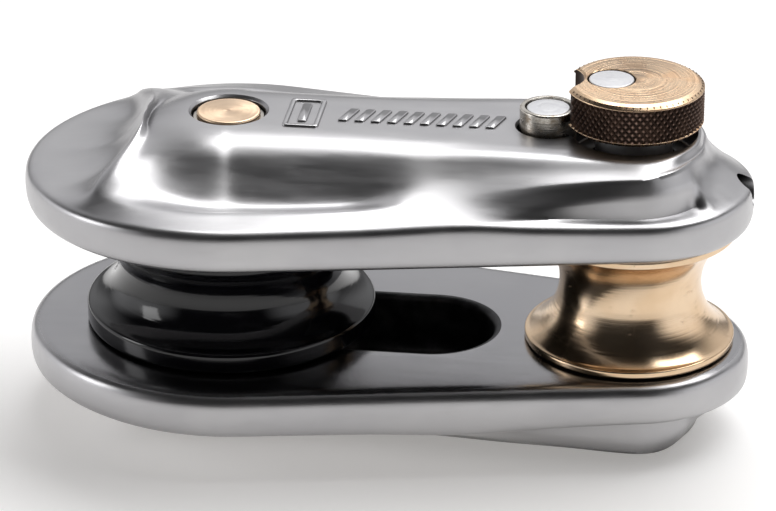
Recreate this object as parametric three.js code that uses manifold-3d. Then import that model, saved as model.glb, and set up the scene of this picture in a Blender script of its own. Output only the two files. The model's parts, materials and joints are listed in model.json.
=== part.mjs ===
// Double sheave block: two opening cheeks, a rope sheave, a sling spool and a locking pin.
// Millimetres, +Z up. Origin: centre of the footprint, on the flat underside of the lower cheek.
import * as THREE from "three";
import Module from "manifold-3d";
import { mergeVertices } from "three/addons/utils/BufferGeometryUtils.js";

const wasm = await Module();
wasm.setup();

// ---- driving dimensions -------------------------------------------------------------------------
const REACH = 77; // sheave axis to spool axis
const NOSE_R = 37.3; // cheek outline about the sheave axis
const NOSE_X = 39; // reach of the outline beyond the sheave axis, a little more than its radius
const TAIL_R = 23; // cheek outline about the spool axis
const CHEEK_H = 18; // cheek thickness at its spine
const GAP = 24.65; // between the two inner faces
const FIT = 0.3; // gap left between pieces that touch

const SHEAVE_X = (NOSE_X - TAIL_R - REACH) / 2; // sheave axis, with the outline centred on X = 0
const SPOOL_X = SHEAVE_X + REACH;
const BUTTON_X = SPOOL_X - 16.2; // lock button axis
const LOW_Z = CHEEK_H; // inner face of the lower cheek
const UP_Z = CHEEK_H + GAP; // inner face of the upper cheek
const TOP_Z = UP_Z + CHEEK_H; // flat of the upper spine

const AXLE_R = 6.05; // sheave axle where it passes the cheeks
const JOURNAL_R = 8; // sheave axle under the sheave
const POST_R = 8.5; // spool post under the spool
const POST_END_R = 6.3; // spool post in the lower cheek
const PIN_R = 4.9; // locking pin
const RING_SEAT = 2.45; // depth of the snap ring seats below the spine flats
const RING_OVER = 0.75; // width of a snap ring outside its pin
const SHEAVE_R = 27.8; // rope sheave flange
const SHEAVE_BORE_R = 10.7;
const SHEAVE_WAIST_R = 21.6; // bottom of the rope groove
const ROPE_GROOVE_R = 8.5; // groove radius for 16 mm rope
const SPOOL_R = 20; // sling spool flange
const SPOOL_WAIST_R = 13.5;
const SPOOL_GROOVE_R = 12.4;
const ROLLER_H = 23.9; // height of the sheave and of the spool
const RECESS_R = 11.8; // recess under the thumb knob
const RECESS_Z = TOP_Z - 5.25;
const KNOB_R = 13;
const KNOB_Z = TOP_Z + 1.75; // underside of the thumb knob
const KNOB_H = 8.46;
const KNOB_FACE_R = 11.7; // flat of the knob's top inside its bevel
const KNOB_BEVEL = 0.9; // height of the bevels
const COLLAR_R = 7.3; // collar between the knob and the recess floor
const NOTCH_R = 6.6; // notch in the knob, about the button axis
const BUTTON_R = 5.37;
const BUTTON_BORE_R = 5.75;
const BUTTON_CHAMBER_R = 6.6; // wider chamber below the button bore
const SWING_BUSH_R = 7.6; // bush the upper cheek swings on
const GUIDE_BUSH_R = 8; // bush that guides the locking pin
const END_GROOVE_R = 3; // channel through the tail of the upper cheek
const END_GROOVE_Z = 7; // its height over the inner face
const BUTTON_TOP_Z = TOP_Z + 4.05;
const BUTTON_SHOULDER_Z = 53.4; // stop shoulder of the button bore
const SPRING_Z = [UP_Z + 2.95, UP_Z + 17.35]; // lower and upper end of the button spring
const POCKET_R = 12; // lightening pocket in each inner face
const POCKET_X = [SHEAVE_X + 25, SHEAVE_X + 39]; // centres of its round ends
const POCKET_DEPTH = 12.5;

const FINE = 40; // facets of a large round piece
const ROUND = 26; // facets of a small one

// ---- relief of a cheek --------------------------------------------------------------------------
// A place u runs along half the outline: 0 to 1 round the nose, 1 to 2 along the straight side,
// 2 to 3 round the tail. d is the distance out from the middle line, h the height over the inner face.
const LEAN = (NOSE_R - TAIL_R) / REACH; // sine of the taper of the straight side
const NOSE_TURN = Math.PI / 2 + Math.asin(LEAN);

/** A smooth curve through [u, value] pairs that never overshoots them. */
function track(...keys) {
  const slope = keys.slice(1).map(([u, v], i) => (v - keys[i][1]) / (u - keys[i][0]));
  const tangent = keys.map((key, i) => {
    const before = slope[i - 1] ?? slope[i];
    const after = slope[i] ?? before;
    return before * after <= 0 ? 0 : (2 * before * after) / (before + after);
  });
  return (u) => {
    let i = 0;
    while (i < keys.length - 2 && u > keys[i + 1][0]) i++;
    const width = keys[i + 1][0] - keys[i][0];
    const t = THREE.MathUtils.clamp((u - keys[i][0]) / width, 0, 1);
    const rise = keys[i + 1][1] - keys[i][1];
    const bend = tangent[i] * width * t * (1 - t) ** 2 - tangent[i + 1] * width * t * t * (1 - t);
    return keys[i][1] + rise * t * t * (3 - 2 * t) + bend;
  };
}

const spineEdge = track([0, 14.4], [0.45, 15], [0.9, 15.6], [1, 15.1], [1.2, 14], [1.4, 13.2],
  [1.56, 12.8], [1.8, 13.4], [2, 14.4], [2.3, 13.7], [2.6, 12.9], [3, 12.3]);
const crown = track([0, 1], [0.95, 1], [1.1, 0.85], [1.3, 0.6], [1.5, 0.25], [1.7, 0], [3, 0]);
const creaseOut = track([0, 15.2], [0.2, 16.3], [0.3, 18.6], [0.38, 22.5], [0.44, 27.5], [0.5, 32],
  [0.6, 32], [0.7, 30.9], [1, 29.4], [1.3, 26.9], [1.58, 22.3], [1.82, 20], [1.99, 19], [2.2, 17.6],
  [2.5, 14.8], [3, 13.3]);
const creaseHigh = track([0, 17], [0.2, 16.4], [0.3, 15.4], [0.38, 14], [0.44, 12.6], [0.5, 11],
  [0.6, 10.1], [1, 9.95], [1.3, 10.5], [1.58, 12.4], [1.82, 14.8], [1.99, 15.9], [2.2, 16.4], [3, 16.3]);
const scoopDip = track([0, -0.4], [0.3, -1.2], [0.5, -2], [0.68, 0], [0.85, 1.3], [1.05, 1.9],
  [1.27, 1.6], [1.46, -1.3], [1.6, -1.3], [1.8, -0.8], [2, -0.5], [2.5, 0], [3, 0]);
const lipHigh = track([0, 7.8], [0.4, 8], [0.8, 8.6], [1.3, 8.9], [1.55, 9.5], [1.75, 8.7], [2, 8.2],
  [2.5, 8.3], [3, 8.8]);
const dishDip = track([0, 3.4], [0.3, 2.6], [0.42, 0.9], [0.5, 0], [3, 0]);
const pocketOpen = track([0, 0], [1.6, 0], [1.7, 0.5], [1.85, 0.9], [2, 1], [2.38, 1], [2.47, 0], [3, 0]);
const tailHollow = track([0, 0], [2.38, 0], [2.6, 1], [3, 1]);
const ledgePart = track([0, 0.24], [0.4, 0.24], [0.6, 0.5], [1.4, 0.55], [1.6, 0.8], [1.8, 0.48],
  [1.99, 0.38], [3, 0.4]);
const floorPart = track([0, 0.62], [0.4, 0.62], [0.6, 0.8], [1.5, 0.85], [1.62, 0.92], [2, 0.85], [3, 0.8]);

/** Distance from the middle line to the outline at u. */
function outlineAt(u) {
  return THREE.MathUtils.lerp(NOSE_R, TAIL_R, THREE.MathUtils.clamp(u - 1, 0, 1));
}

/** The section of a cheek at u, from the middle of its spine over the rim to its inner face. */
function sectionAt(u) {
  const { lerp } = THREE.MathUtils;
  const out = outlineAt(u);
  const edge = spineEdge(u);
  const round = crown(u);
  const crease = [creaseOut(u), creaseHigh(u)];
  const lip = [out - 1.5, lipHigh(u)];
  const foot = [lerp(edge, crease[0], 0.74), crease[1] - scoopDip(u)];
  const slope = (part, fall, sink) => (
    [lerp(edge, foot[0], part), lerp(CHEEK_H, foot[1], fall) - sink * round]);
  const along = (part) => crease.map((value, axis) => lerp(value, lip[axis], part));
  const dish = dishDip(u);
  const hollow = tailHollow(u);
  const [highD, highH] = along(ledgePart(u));
  const ledge = [highD - 1.6 * hollow, highH - 1.55 * dish - 0.6 * hollow];
  const [lowD, lowH] = along(floorPart(u));
  const floor = [
    lerp(lowD - 1.7 * hollow, ledge[0] + 0.4, pocketOpen(u)),
    lerp(lowH - 0.95 * dish + 0.6 * hollow, lip[1] + 0.4, pocketOpen(u)),
  ];
  return [
    [edge - 3.2 - 3.8 * round, CHEEK_H], [edge - 2.1 - 1.9 * round, CHEEK_H - 0.5 * round],
    [edge - 1, CHEEK_H - 0.1 - 1.5 * round], slope(0.14, 0.08, 2.3), slope(0.4, 0.35, 2),
    slope(0.72, 0.73, 0.8), foot, crease, ledge, floor, lip,
    [out - 0.4, lip[1] - 0.5], [out, lip[1] - 1.9], [out, 2.3], [out - 0.68, 0.68], [out - 2.3, 0],
  ];
}

/** The places u along half the outline, tail end and pocket end closer together. */
function places() {
  const list = [];
  for (let i = 0; i < 10; i++) list.push(i / 10);
  for (let i = 0; i < 10; i++) list.push(1 + i / 10);
  for (const turn of [0, 0.12, 0.24, 0.38, 0.47, 0.6, 0.8, 1]) list.push(2 + turn);
  return list;
}

/** Turns a geometry into a closed solid with its faces pointing out. */
function solid(geometry) {
  const bare = geometry.clone();
  bare.deleteAttribute("normal");
  bare.deleteAttribute("uv");
  const merged = mergeVertices(bare, 1e-5);
  const place = merged.attributes.position.array;
  const index = Array.from(merged.index.array);
  const corners = [];
  let volume = 0;
  for (let i = 0; i < index.length; i += 3) {
    const [a, b, c] = index.slice(i, i + 3);
    if (a === b || b === c || a === c) continue;
    corners.push(a, b, c);
    const [p, q, r] = [a, b, c].map((at) => new THREE.Vector3().fromArray(place, at * 3));
    volume += p.dot(q.cross(r));
  }
  if (volume < 0) corners.reverse();
  return new wasm.Manifold(new wasm.Mesh({
    numProp: 3, vertProperties: new Float32Array(place), triVerts: new Uint32Array(corners),
  }));
}

/** The geometry of a joined or cut solid. */
function geometryOf(body) {
  const mesh = body.getMesh();
  const geometry = new THREE.BufferGeometry();
  geometry.setAttribute("position", new THREE.BufferAttribute(mesh.vertProperties, 3));
  geometry.setIndex(new THREE.BufferAttribute(mesh.triVerts, 1));
  geometry.computeVertexNormals();
  return geometry;
}

/** A solid turned about a vertical axis at x, from [radius, z] points. */
function turned(points, x = 0, facets = ROUND) {
  const geometry = new THREE.LatheGeometry(points.map(([r, z]) => new THREE.Vector2(r, z)), facets);
  geometry.rotateX(Math.PI / 2);
  geometry.translate(x, 0, 0);
  return solid(geometry);
}

const rod = (r, z0, z1, x, facets) => turned([[0, z0], [r, z0], [r, z1], [0, z1]], x, facets);
const ring = (r0, r1, z0, z1, x, facets) => (
  turned([[r0, z0], [r1, z0], [r1, z1], [r0, z1], [r0, z0]], x, facets));

/** The outer skin of a cheek, inner face at z = 0 and spine upwards. */
function cheekSkin() {
  const front = places();
  const loop = [...front.map((u) => [u, -1]), ...front.slice(1, -1).reverse().map((u) => [u, 1])];
  const place = [];
  const { clamp } = THREE.MathUtils;
  for (const [u, side] of loop) {
    const turn = NOSE_TURN * Math.min(u, 1) + (Math.PI - NOSE_TURN) * clamp(u - 2, 0, 1);
    const middle = SHEAVE_X + REACH * clamp(u - 1, 0, 1);
    const stretch = turn < Math.PI / 2 ? NOSE_X / NOSE_R : 1;
    for (const [d, h] of sectionAt(u)) {
      place.push(middle - d * stretch * Math.cos(turn), side * d * Math.sin(turn), h);
    }
  }
  const rings = sectionAt(0).length;
  const count = loop.length;
  const corners = [];
  const quad = (a, b, c, d) => corners.push(a, b, c, a, c, d);
  for (let i = 0; i < count; i++) {
    const here = i * rings;
    const next = ((i + 1) % count) * rings;
    for (let k = 0; k < rings - 1; k++) quad(here + k, here + k + 1, next + k + 1, next + k);
  }
  for (let i = 0; i < front.length - 1; i++) {
    const mate = ((count - i) % count) * rings;
    const nextMate = (count - i - 1) * rings;
    quad(i * rings, (i + 1) * rings, nextMate, mate);
    quad(mate + rings - 1, nextMate + rings - 1, (i + 2) * rings - 1, (i + 1) * rings - 1);
  }
  const geometry = new THREE.BufferGeometry();
  geometry.setAttribute("position", new THREE.BufferAttribute(new Float32Array(place), 3));
  geometry.setIndex(corners);
  return geometry;
}

/** A cheek before its bores: the inner face has a blind pocket with round ends. */
function blankCheek() {
  const outline = new THREE.Shape();
  outline.absarc(POCKET_X[0], 0, POCKET_R, Math.PI / 2, Math.PI * 1.5);
  outline.absarc(POCKET_X[1], 0, POCKET_R, -Math.PI / 2, Math.PI / 2);
  outline.closePath();
  const pocket = new THREE.ExtrudeGeometry(outline, {
    depth: POCKET_DEPTH + 1, bevelEnabled: false, curveSegments: 10,
  });
  pocket.translate(0, 0, -1);
  return solid(cheekSkin()).subtract(solid(pocket));
}

/** Bore for a pin end with a snap ring seat under a chamfer, open at the spine flat z = CHEEK_H. */
function ringSeat(x, pin, play) {
  const lip = CHEEK_H - RING_SEAT;
  const seat = pin + RING_OVER + FIT;
  const mouth = seat + 0.65;
  return turned([[0, -1], [pin + play, -1], [pin + play, lip], [seat, lip], [seat, CHEEK_H - 0.55],
    [mouth, CHEEK_H + 0.1], [mouth, CHEEK_H + 1], [0, CHEEK_H + 1]], x);
}

function lowerCheek() {
  const cut = blankCheek()
    .subtract(ringSeat(SHEAVE_X, AXLE_R, FIT))
    .subtract(ringSeat(SPOOL_X, POST_END_R, FIT));
  const geometry = geometryOf(cut);
  geometry.rotateX(Math.PI);
  geometry.translate(0, 0, LOW_Z);
  return geometry;
}

function upperCheek() {
  const lift = (z) => z - UP_Z;
  const bushSeat = rod(SWING_BUSH_R + FIT, -1, CHEEK_H - 3.45, SHEAVE_X);
  const recess = turned([[0, lift(RECESS_Z)], [RECESS_R, lift(RECESS_Z)], [RECESS_R, CHEEK_H - 0.5],
    [RECESS_R + 0.4, CHEEK_H + 0.1], [RECESS_R + 0.4, CHEEK_H + 1], [0, CHEEK_H + 1]], SPOOL_X, FINE);
  const guide = rod(GUIDE_BUSH_R + FIT, -1, lift(RECESS_Z) + 1, SPOOL_X);
  const mouth = BUTTON_BORE_R + 0.55;
  const buttonBore = turned([[0, -1], [BUTTON_CHAMBER_R, -1], [BUTTON_CHAMBER_R, lift(BUTTON_SHOULDER_Z)],
    [BUTTON_BORE_R, lift(BUTTON_SHOULDER_Z)], [BUTTON_BORE_R, CHEEK_H - 0.5], [mouth, CHEEK_H + 0.1],
    [mouth, CHEEK_H + 1], [0, CHEEK_H + 1]], BUTTON_X);
  const endGroove = new THREE.CylinderGeometry(END_GROOVE_R, END_GROOVE_R, 12, 20);
  endGroove.rotateZ(Math.PI / 2);
  endGroove.translate(SPOOL_X + TAIL_R - 0.3, 0, END_GROOVE_Z);
  const cut = blankCheek()
    .subtract(ringSeat(SHEAVE_X, AXLE_R, 0.4)).subtract(bushSeat)
    .subtract(recess).subtract(guide).subtract(buttonBore).subtract(solid(endGroove));
  const geometry = geometryOf(cut);
  geometry.translate(0, 0, UP_Z);
  return geometry;
}

// ---- rollers ------------------------------------------------------------------------------------
/** Points of a groove of radius r whose bottom is at radius waist, from lower to upper edge. */
function grooveArc(waist, r, halfWidth, middle, steps) {
  const reach = Math.asin(halfWidth / r);
  return Array.from({ length: steps + 1 }, (_, i) => {
    const angle = -reach + (2 * reach * i) / steps;
    return [waist + r - r * Math.cos(angle), middle + r * Math.sin(angle)];
  });
}

const ROLLER_LOW = LOW_Z + (GAP - ROLLER_H) / 2;
const ROLLER_HIGH = ROLLER_LOW + ROLLER_H;
const ROLLER_MID = (ROLLER_LOW + ROLLER_HIGH) / 2;

function ropeSheave() {
  const groove = grooveArc(SHEAVE_WAIST_R, ROPE_GROOVE_R, ROPE_GROOVE_R - 0.85, ROLLER_MID, 10);
  return geometryOf(turned([
    [SHEAVE_BORE_R, ROLLER_LOW], [SHEAVE_R - 0.8, ROLLER_LOW], [SHEAVE_R, ROLLER_LOW + 0.8],
    [SHEAVE_R, ROLLER_LOW + 3.3], [SHEAVE_R - 0.5, ROLLER_LOW + 4], ...groove,
    [SHEAVE_R - 0.5, ROLLER_HIGH - 4], [SHEAVE_R, ROLLER_HIGH - 3.3], [SHEAVE_R, ROLLER_HIGH - 0.8],
    [SHEAVE_R - 0.8, ROLLER_HIGH], [SHEAVE_BORE_R, ROLLER_HIGH], [SHEAVE_BORE_R, ROLLER_LOW],
  ], SHEAVE_X, FINE));
}

function slingSpool() {
  const bore = POST_R + FIT;
  const washerSeat = [11.8, 0.85];
  const groove = grooveArc(SPOOL_WAIST_R, SPOOL_GROOVE_R, 10.5, ROLLER_MID, 8);
  return geometryOf(turned([
    [bore, ROLLER_LOW + washerSeat[1]], [washerSeat[0], ROLLER_LOW + washerSeat[1]],
    [washerSeat[0], ROLLER_LOW], [SPOOL_R - 0.4, ROLLER_LOW], [SPOOL_R, ROLLER_LOW + 0.4],
    [SPOOL_R, ROLLER_LOW + 1], ...groove, [SPOOL_R, ROLLER_HIGH - 1], [SPOOL_R, ROLLER_HIGH - 0.4],
    [SPOOL_R - 0.4, ROLLER_HIGH], [washerSeat[0], ROLLER_HIGH],
    [washerSeat[0], ROLLER_HIGH - washerSeat[1]], [bore, ROLLER_HIGH - washerSeat[1]],
    [bore, ROLLER_LOW + washerSeat[1]],
  ], SPOOL_X, FINE));
}

// ---- axle, post and their rings -----------------------------------------------------------------
const RING_GROOVE = [1.1, 2.2]; // depth of the snap ring grooves below a spine flat

function sheaveAxle() {
  const low = 0.15;
  const high = TOP_Z - 0.15;
  const waist = AXLE_R - 0.45;
  return geometryOf(turned([
    [0, low], [AXLE_R - 0.4, low], [AXLE_R, low + 0.4], [AXLE_R, RING_GROOVE[0]],
    [waist, RING_GROOVE[0]], [waist, RING_GROOVE[1]], [AXLE_R, RING_GROOVE[1]],
    [AXLE_R, LOW_Z + FIT], [JOURNAL_R, LOW_Z + FIT], [JOURNAL_R, UP_Z - FIT], [AXLE_R, UP_Z - FIT],
    [AXLE_R, TOP_Z - RING_GROOVE[1]], [waist, TOP_Z - RING_GROOVE[1]],
    [waist, TOP_Z - RING_GROOVE[0]], [AXLE_R, TOP_Z - RING_GROOVE[0]],
    [AXLE_R, high - 0.4], [AXLE_R - 0.4, high], [0, high],
  ], SHEAVE_X));
}

function spoolPost() {
  const low = 0.15;
  const waist = POST_END_R - 0.45;
  const top = UP_Z - 0.35;
  const socket = PIN_R + 0.4;
  return geometryOf(turned([
    [0, low], [POST_END_R - 0.4, low], [POST_END_R, low + 0.4], [POST_END_R, RING_GROOVE[0]],
    [waist, RING_GROOVE[0]], [waist, RING_GROOVE[1]], [POST_END_R, RING_GROOVE[1]],
    [POST_END_R, LOW_Z + FIT], [POST_R, LOW_Z + FIT], [POST_R, top], [socket + 0.8, top],
    [socket, top - 0.8], [socket, top - 14], [0, top - 16],
  ], SPOOL_X));
}

/** Open snap ring in the groove of a pin, its gap towards -Y. */
function snapRing(x, pin, z) {
  const gap = 0.35;
  const inner = pin - 0.3;
  const outer = pin + RING_OVER;
  const start = -Math.PI / 2 + gap;
  const end = Math.PI * 1.5 - gap;
  const outline = new THREE.Shape();
  outline.absarc(0, 0, outer, start, end, false);
  outline.absarc(0, 0, inner, end, start, true);
  outline.closePath();
  const geometry = new THREE.ExtrudeGeometry(outline, { depth: 0.9, bevelEnabled: false, curveSegments: 16 });
  geometry.translate(x, 0, z);
  return geometryOf(solid(geometry));
}

// ---- locking pin --------------------------------------------------------------------------------
const PIN_LOW_Z = UP_Z + FIT;
const KEEPER_Z = PIN_LOW_Z + 0.8; // lower side of the retaining ring
const DISC_R = 4.25; // dowel disc in the knob's top
const DISC_X = SPOOL_X - 4.45;

function lockingPin() {
  const top = KNOB_Z + 4.6;
  const waist = PIN_R - 0.55;
  return geometryOf(turned([
    [0, PIN_LOW_Z], [PIN_R - 0.5, PIN_LOW_Z], [PIN_R, PIN_LOW_Z + 0.5], [PIN_R, KEEPER_Z - 0.1],
    [waist, KEEPER_Z - 0.1], [waist, KEEPER_Z + 1], [PIN_R, KEEPER_Z + 1], [PIN_R, top], [0, top],
  ], SPOOL_X));
}

function thumbKnob() {
  const top = KNOB_Z + KNOB_H;
  const body = turned([
    [0, KNOB_Z], [KNOB_R - KNOB_BEVEL, KNOB_Z], [KNOB_R, KNOB_Z + KNOB_BEVEL],
    [KNOB_R, top - KNOB_BEVEL], [KNOB_FACE_R, top], [0, top],
  ], SPOOL_X, FINE);
  const notch = rod(NOTCH_R, KNOB_Z - 1, top + 1, BUTTON_X, FINE);
  const pinHole = rod(PIN_R + FIT, KNOB_Z - 1, KNOB_Z + 4.9, SPOOL_X);
  const discSeat = rod(DISC_R + FIT, top - 2.5, top + 1, DISC_X);
  return geometryOf(body.subtract(notch).subtract(pinHole).subtract(discSeat));
}

function knobDisc() {
  const top = KNOB_Z + KNOB_H - 0.05;
  return geometryOf(turned([[0, top - 2.1], [DISC_R, top - 2.1], [DISC_R, top - 0.2],
    [DISC_R - 0.2, top], [0, top]], DISC_X));
}

/** Sleeve that guides the locking pin: a wide lower chamber under a narrow land. */
function guideBush() {
  const low = UP_Z + FIT;
  const high = RECESS_Z - FIT;
  const land = high - 2.9;
  const chamber = PIN_R + 1.5;
  return geometryOf(turned([[chamber, low], [GUIDE_BUSH_R, low], [GUIDE_BUSH_R, high], [PIN_R + FIT, high],
    [PIN_R + FIT, land], [chamber, land], [chamber, low]], SPOOL_X));
}

// ---- lock button --------------------------------------------------------------------------------
function buttonSleeve() {
  const low = BUTTON_SHOULDER_Z - 3;
  const shoulder = BUTTON_SHOULDER_Z - FIT;
  const cavity = SPRING_Z[1] + FIT;
  const skirt = BUTTON_CHAMBER_R - FIT;
  return geometryOf(turned([
    [4.3, low], [skirt, low], [skirt, shoulder], [BUTTON_R, shoulder], [BUTTON_R, BUTTON_TOP_Z - 0.35],
    [BUTTON_R - 0.35, BUTTON_TOP_Z], [4.4, BUTTON_TOP_Z], [4.4, BUTTON_TOP_Z - 2.7],
    [0, BUTTON_TOP_Z - 2.7], [0, cavity], [4.3, cavity], [4.3, low],
  ], BUTTON_X));
}

function buttonCore() {
  const top = BUTTON_TOP_Z - 0.25;
  return geometryOf(turned([[0, top - 2.1], [4.1, top - 2.1], [4.1, top - 0.2], [3.9, top], [0, top]],
    BUTTON_X));
}

class Helix extends THREE.Curve {
  constructor(radius, low, high, turns) {
    super();
    Object.assign(this, { radius, low, high, turns });
  }

  getPoint(t, target = new THREE.Vector3()) {
    const angle = 2 * Math.PI * this.turns * t;
    return target.set(this.radius * Math.cos(angle), this.radius * Math.sin(angle),
      THREE.MathUtils.lerp(this.low, this.high, t));
  }
}

function buttonSpring() {
  const wire = 0.4;
  const turns = 7;
  const section = new THREE.Shape();
  section.absarc(0, 0, wire, 0, Math.PI * 2);
  const geometry = new THREE.ExtrudeGeometry(section, {
    steps: turns * 10, curveSegments: 2, bevelEnabled: false,
    extrudePath: new Helix(3.4, SPRING_Z[0] + wire, SPRING_Z[1] - wire, turns),
  });
  geometry.translate(BUTTON_X, 0, 0);
  return geometryOf(solid(geometry));
}

// ---- assembly -----------------------------------------------------------------------------------
const FINISH = {
  cheekSteel: { color: 0xb4b2b3, roughness: 0.34, metalness: 1 },
  blackAnodised: { color: 0x17181b, roughness: 0.18, metalness: 0.6 },
  bronze: { color: 0xc79a6a, roughness: 0.26, metalness: 1 },
  agedBronze: { color: 0x8a6440, roughness: 0.38, metalness: 1 },
  steel: { color: 0xa8a8aa, roughness: 0.3, metalness: 1 },
  satinSteel: { color: 0xd8d8d8, roughness: 0.45, metalness: 1 },
};

const washerZ = (index) => (index ? UP_Z - FIT - 0.6 : LOW_Z + FIT);
const PIECES = [
  ["lower_cheek_plate", "cheekSteel", lowerCheek()],
  ["sheave_axle", "bronze", sheaveAxle()],
  ["axle_snap_ring_lower", "steel", snapRing(SHEAVE_X, AXLE_R, 1.2)],
  ["axle_snap_ring_upper", "steel", snapRing(SHEAVE_X, AXLE_R, TOP_Z - 2.1)],
  ["spool_post", "steel", spoolPost()],
  ["post_snap_ring", "steel", snapRing(SPOOL_X, POST_END_R, 1.2)],
  ["rope_sheave", "blackAnodised", ropeSheave()],
  ["sheave_bush", "bronze",
    geometryOf(ring(JOURNAL_R + FIT, SHEAVE_BORE_R - FIT, LOW_Z + 1.3, UP_Z - 1.3, SHEAVE_X, FINE))],
  ["sling_spool", "bronze", slingSpool()],
  ["upper_cheek_plate", "cheekSteel", upperCheek()],
  ["cheek_swing_bush", "bronze",
    geometryOf(ring(AXLE_R + FIT, SWING_BUSH_R, UP_Z + FIT, TOP_Z - 3.75, SHEAVE_X))],
  ["pin_guide_bush", "bronze", guideBush()],
  ["button_bore_plug", "steel",
    geometryOf(rod(BUTTON_CHAMBER_R - FIT, UP_Z + FIT, SPRING_Z[0] - FIT, BUTTON_X))],
  ["locking_pin", "steel", lockingPin()],
  ["pin_retaining_ring", "steel", snapRing(SPOOL_X, PIN_R, KEEPER_Z)],
  ["pin_collar", "satinSteel",
    geometryOf(ring(PIN_R + FIT, COLLAR_R, RECESS_Z + FIT, KNOB_Z - FIT, SPOOL_X))],
  ["thumb_knob", "agedBronze", thumbKnob()],
  ["knob_dowel_disc", "satinSteel", knobDisc()],
  ["lock_button_sleeve", "steel", buttonSleeve()],
  ["lock_button_core", "satinSteel", buttonCore()],
  ["lock_button_spring", "steel", buttonSpring()],
];
["lower", "upper"].forEach((end, index) => {
  const z = washerZ(index);
  PIECES.push([`sheave_thrust_washer_${end}`, "bronze",
    geometryOf(ring(JOURNAL_R + FIT, SHEAVE_BORE_R - FIT, z, z + 0.6, SHEAVE_X))]);
  PIECES.push([`spool_thrust_washer_${end}`, "steel",
    geometryOf(ring(POST_R + FIT, 11.5, z, z + 0.6, SPOOL_X))]);
});

const group = new THREE.Group();
for (const [name, finish, geometry] of PIECES) {
  const mesh = new THREE.Mesh(geometry, new THREE.MeshStandardMaterial(FINISH[finish]));
  mesh.name = name;
  group.add(mesh);
}

export default group;
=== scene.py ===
"""Double sheave block: its finished look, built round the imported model. Metres, +Z up."""
import json
import math

import bmesh
import bpy
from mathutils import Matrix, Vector


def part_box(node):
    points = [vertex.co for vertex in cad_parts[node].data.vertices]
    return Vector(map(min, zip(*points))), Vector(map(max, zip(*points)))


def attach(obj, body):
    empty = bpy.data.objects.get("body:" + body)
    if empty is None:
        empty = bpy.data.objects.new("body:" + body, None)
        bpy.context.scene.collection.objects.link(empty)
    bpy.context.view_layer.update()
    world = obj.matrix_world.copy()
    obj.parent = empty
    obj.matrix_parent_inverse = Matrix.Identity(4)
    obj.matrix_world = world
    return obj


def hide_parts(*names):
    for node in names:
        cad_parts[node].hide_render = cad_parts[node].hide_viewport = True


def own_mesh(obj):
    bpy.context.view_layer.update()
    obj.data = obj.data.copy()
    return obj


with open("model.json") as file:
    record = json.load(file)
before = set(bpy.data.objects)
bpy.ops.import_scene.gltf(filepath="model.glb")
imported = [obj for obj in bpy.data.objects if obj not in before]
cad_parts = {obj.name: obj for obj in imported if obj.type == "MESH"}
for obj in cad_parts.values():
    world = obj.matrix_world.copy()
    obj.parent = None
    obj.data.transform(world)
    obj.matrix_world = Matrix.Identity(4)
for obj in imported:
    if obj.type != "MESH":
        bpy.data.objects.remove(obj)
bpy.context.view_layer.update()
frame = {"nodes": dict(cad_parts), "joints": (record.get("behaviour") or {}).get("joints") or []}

# ---- places taken from the frame, in millimetres -------------
MM = 0.001
AXES = {joint["name"]: joint["pos_m"][0] / MM for joint in frame["joints"] if joint.get("pos_m")}
SHEAVE_X = AXES["sheave_spin"]
SPOOL_X = AXES["spool_spin"]


def levels(node):
    """Lowest and highest z of a CAD node."""
    low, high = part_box(node)
    return low.z / MM, high.z / MM


def middle_x(node):
    """The x halfway along a CAD node."""
    low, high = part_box(node)
    return (low.x + high.x) / 2 / MM


def radius_of(node):
    """Half the width of a CAD node across Y."""
    low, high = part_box(node)
    return (high.y - low.y) / 2 / MM


BUTTON_X = middle_x("lock_button_core")
DISC_X = middle_x("knob_dowel_disc")
LOW_Z = levels("lower_cheek_plate")[1]
UP_Z, TOP_Z = levels("upper_cheek_plate")
CHEEK_H = TOP_Z - UP_Z
REACH = SPOOL_X - SHEAVE_X
NOSE_R = 37.3
NOSE_X = 39.0
TAIL_R = 23.0
FIT = 0.3
AXLE_R = 6.05
POST_END_R = 6.3
PIN_R = 4.9
RING_OVER = 0.75
RECESS_R = 11.8
SWING_BUSH_SEAT_R = 7.9
GUIDE_BUSH_SEAT_R = 8.3
BUTTON_BORE_R = 5.75
BUTTON_CHAMBER_R = 6.6
BUTTON_SHOULDER_Z = 53.4
POCKET_R = 12
POCKET_DEPTH = 12.5
LEAN = (NOSE_R - TAIL_R) / REACH
NOSE_TURN = math.pi / 2 + math.asin(LEAN)
FINE = 160
ROUND = 96


# ---- shader maths --------------------------------------------
class Value:
    """A shader socket that takes part in sums: each operator adds a Math node."""

    def __init__(self, paint, socket):
        self.paint = paint
        self.socket = socket

    def sum(self, operation, *values):
        return self.paint.value("ShaderNodeMath", {"operation": operation}, dict(enumerate(values)))

    def __add__(self, other):
        return self.sum("ADD", self, other)

    def __sub__(self, other):
        return self.sum("SUBTRACT", self, other)

    def __mul__(self, other):
        return self.sum("MULTIPLY", self, other)

    def __truediv__(self, other):
        return self.sum("DIVIDE", self, other)

    def __rsub__(self, other):
        return self.sum("SUBTRACT", other, self)

    __radd__ = __add__
    __rmul__ = __mul__


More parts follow.
